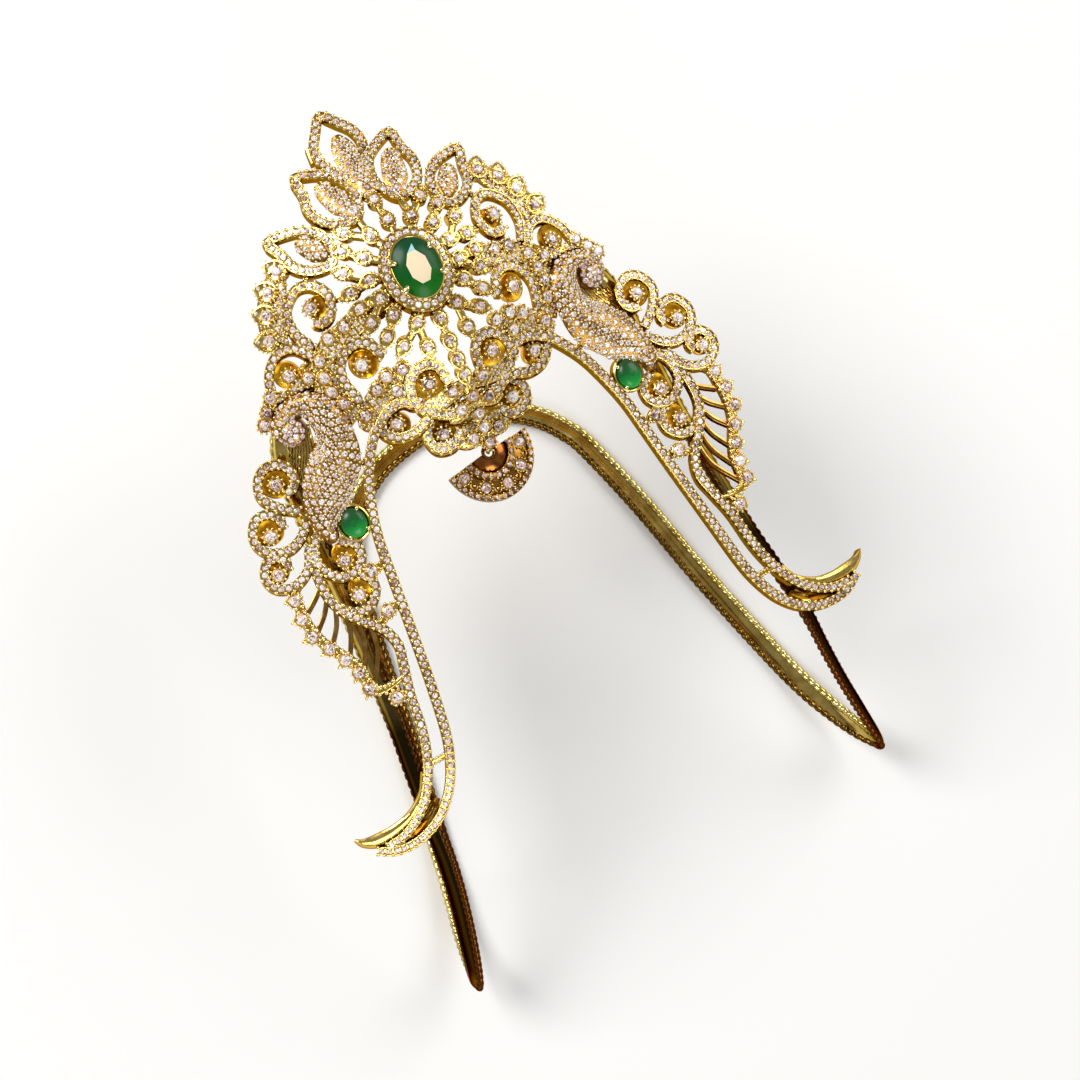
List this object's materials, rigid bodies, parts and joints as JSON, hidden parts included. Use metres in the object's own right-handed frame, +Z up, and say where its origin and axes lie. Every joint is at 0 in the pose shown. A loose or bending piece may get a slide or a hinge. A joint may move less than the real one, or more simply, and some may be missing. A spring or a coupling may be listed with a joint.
{
  "type": "vanki armlet",
  "caption": "Rigid gilt upper-arm band bent into a slanting loop, with a pierced, stone-set rosette, two birds, curled legs and a fan-shaped drop on its front.",
  "frame": {"origin": "middle of the bounding box in X and Y, on the surface that the back of the band lies on", "axes": "+X across the ornament to the right as one looks at its face with the rosette upward, +Y from the leg tips to the crown of the rosette, +Z up out of the ornament's face"},
  "size_m": [0.0868, 0.118, 0.0653],
  "materials": {
    "gold": "polished, plated with yellow gold",
    "green_stone": "polished green stone",
    "clear_stone": "cut clear stone with a faint warm tint"
  },
  "bodies": {
    "root": {"goldwork": "gold", "fan_drop": "gold", "drop_ring": "gold", "centre_stone": "green_stone", "left_stone": "green_stone", "right_stone": "green_stone", "ray_stones": "clear_stone", "leaf_stones": "clear_stone", "scroll_stones": "clear_stone", "wing_stones": "clear_stone", "cluster_stones": "clear_stone", "fan_stones": "clear_stone"}
  },
  "joints": []
}
